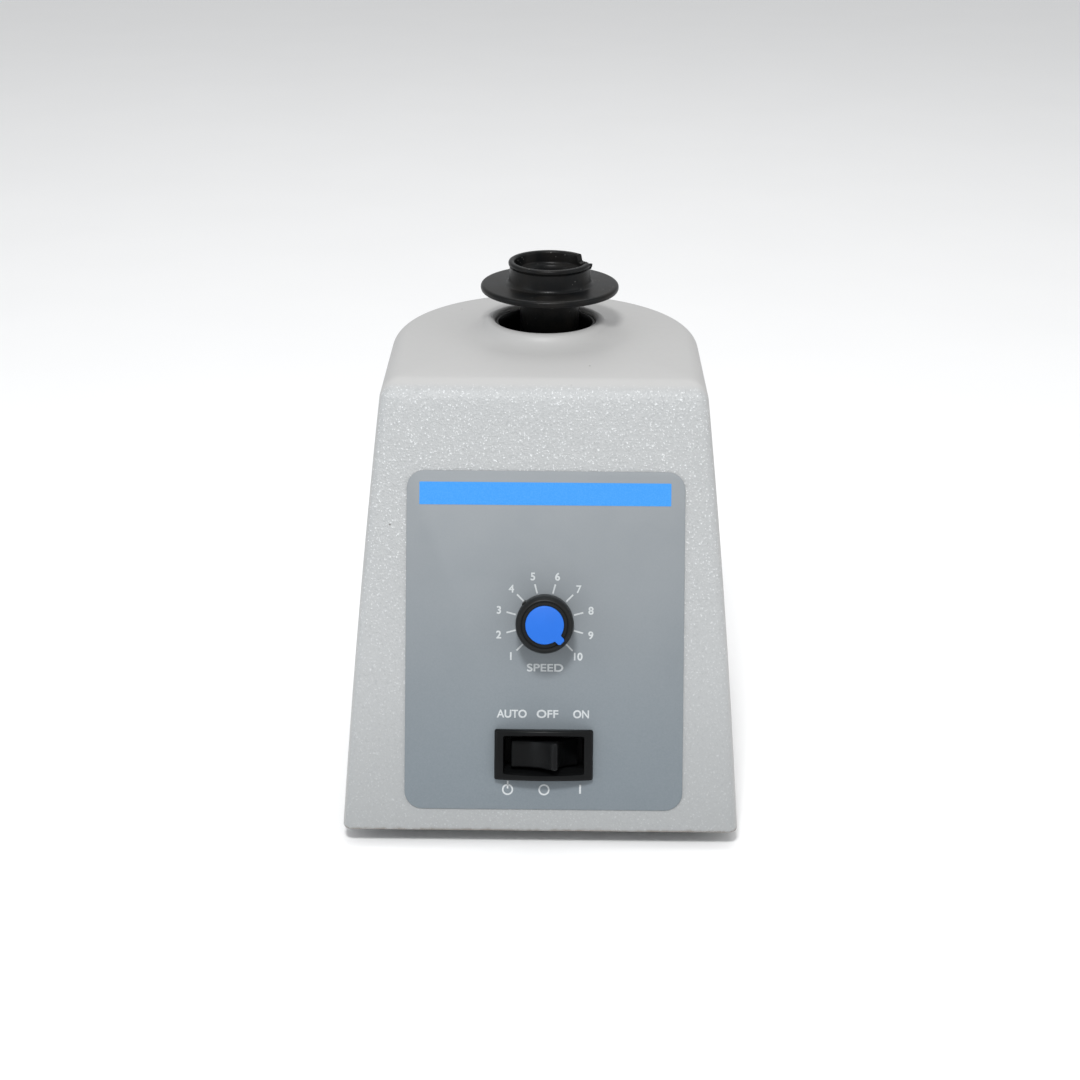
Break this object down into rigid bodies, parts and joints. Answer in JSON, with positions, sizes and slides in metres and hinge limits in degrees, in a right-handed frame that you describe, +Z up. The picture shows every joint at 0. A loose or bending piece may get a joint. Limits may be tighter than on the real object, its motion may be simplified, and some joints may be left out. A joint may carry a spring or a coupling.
{
  "type": "vortex mixer",
  "caption": "Bench vortex mixer: a sloping D-plan metal housing with a speed knob and a rocker switch, and a rubber cup that runs in a small circle to shake test tubes.",
  "frame": {"origin": "on the bench, under the middle of the bounding box", "axes": "+Z up, -Y to the front with the knob and the switch, +X to the right seen from the front"},
  "size_m": [0.124, 0.168, 0.1594],
  "materials": {
    "painted_casting": "light grey powder coat, fine orange peel",
    "label_film": "grey blue printed polyester film with a blue band and white print",
    "black_rubber": "black moulded rubber, satin",
    "zinc_plated_steel": "bright zinc plate",
    "spring_steel": "drawn spring wire",
    "ground_steel": "ground and oiled",
    "lamination_steel": "stacked sheets with a dull varnish",
    "copper_winding": "enamelled copper wire",
    "cast_aluminium": "as cast, with turned faces",
    "brass": "turned",
    "black_plastic": "black moulding, satin",
    "blue_plastic": "blue moulding, satin",
    "circuit_board": "green solder mask",
    "amber_plastic": "amber moulding",
    "brown_wire": "brown insulation",
    "green_wire": "green insulation",
    "fuse_glass": "clear tube"
  },
  "bodies": {
    "frame": {"housing": "painted_casting", "collar_liner": "black_rubber", "control_label": "label_film", "base_plate": "zinc_plated_steel", "foot_1": "black_rubber", "foot_2": "black_rubber", "foot_3": "black_rubber", "foot_4": "black_rubber", "foot_screw_1": "zinc_plated_steel", "foot_screw_2": "zinc_plated_steel", "foot_screw_3": "zinc_plated_steel", "foot_screw_4": "zinc_plated_steel", "guide_screw_1": "zinc_plated_steel", "guide_screw_2": "zinc_plated_steel", "guide_screw_3": "zinc_plated_steel", "press_spring_1": "spring_steel", "press_spring_2": "spring_steel", "press_spring_3": "spring_steel", "control_board": "circuit_board", "triac_heat_sink": "cast_aluminium", "film_capacitor": "amber_plastic", "noise_choke": "copper_winding", "micro_switch": "black_plastic", "supply_wire": "brown_wire", "earth_wire": "green_wire", "inlet_body": "black_plastic", "inlet_pin_live": "brass", "inlet_pin_neutral": "brass", "inlet_pin_earth": "brass", "pot_body": "cast_aluminium", "pot_nut": "zinc_plated_steel", "switch_body": "black_plastic"},
    "motor": {"motor_plate": "zinc_plated_steel", "upper_end_bell": "cast_aluminium", "lower_end_bell": "cast_aluminium", "stator_stack": "lamination_steel", "field_coil_front": "copper_winding", "field_coil_back": "copper_winding", "through_bolt_1": "zinc_plated_steel", "through_bolt_2": "zinc_plated_steel", "motor_bearing_upper": "ground_steel", "motor_bearing_lower": "ground_steel", "dust_gaiter": "black_rubber"},
    "rotor": {"motor_shaft": "ground_steel", "rotor_core": "lamination_steel", "cooling_fan": "black_plastic", "eccentric_hub": "cast_aluminium", "counterweight": "brass", "hub_set_screw": "zinc_plated_steel"},
    "head": {"drive_bearing": "ground_steel", "head_hub": "black_plastic", "mixing_cup": "black_rubber"},
    "speed_control": {"pot_shaft": "brass", "knob_body": "black_plastic", "knob_cap": "blue_plastic"},
    "rocker": {"switch_rocker": "black_plastic"},
    "plunger": {"micro_switch_plunger": "amber_plastic"},
    "drawer": {"fuse_drawer": "black_plastic", "mains_fuse": "fuse_glass"}
  },
  "joints": [
    {"name": "touch_press", "type": "slide", "parent": "frame", "child": "motor", "axis": [0, 0, -1], "range_m": [0, 0.002], "stiffness_N_per_m": 6000, "springref_m": -0.0045, "deforming": ["press_spring_1", "press_spring_2", "press_spring_3"]},
    {"name": "rotor_spin", "type": "hinge", "parent": "motor", "child": "rotor", "pos_m": [0, 0.022, 0.061], "axis": [0, 0, 1], "continuous": true},
    {"name": "head_turn", "type": "hinge", "parent": "rotor", "child": "head", "pos_m": [0.00133, 0.02405, 0.1165], "axis": [0, 0, 1], "continuous": true},
    {"name": "speed_knob", "type": "hinge", "parent": "frame", "child": "speed_control", "pos_m": [0.0009, -0.05886, 0.0657], "axis": [0, -0.9239, 0.3827], "range_deg": [0, 270]},
    {"name": "rocker_tilt", "type": "hinge", "parent": "frame", "child": "rocker", "pos_m": [0.0009, -0.07093, 0.0261], "axis": [0, 0.3827, 0.9239], "range_deg": [-34.8, 0]},
    {"name": "plunger_press", "type": "slide", "parent": "frame", "child": "plunger", "axis": [0, 0, -1], "range_m": [0, 0.002]},
    {"name": "drawer_pull", "type": "slide", "parent": "frame", "child": "drawer", "axis": [0, 1, 0], "range_m": [0, 0.012]}
  ],
  "couplings": [
    {"joint": "head_turn", "follows": "rotor_spin", "ratio": -1},
    {"joint": "plunger_press", "follows": "touch_press", "ratio": 1}
  ]
}
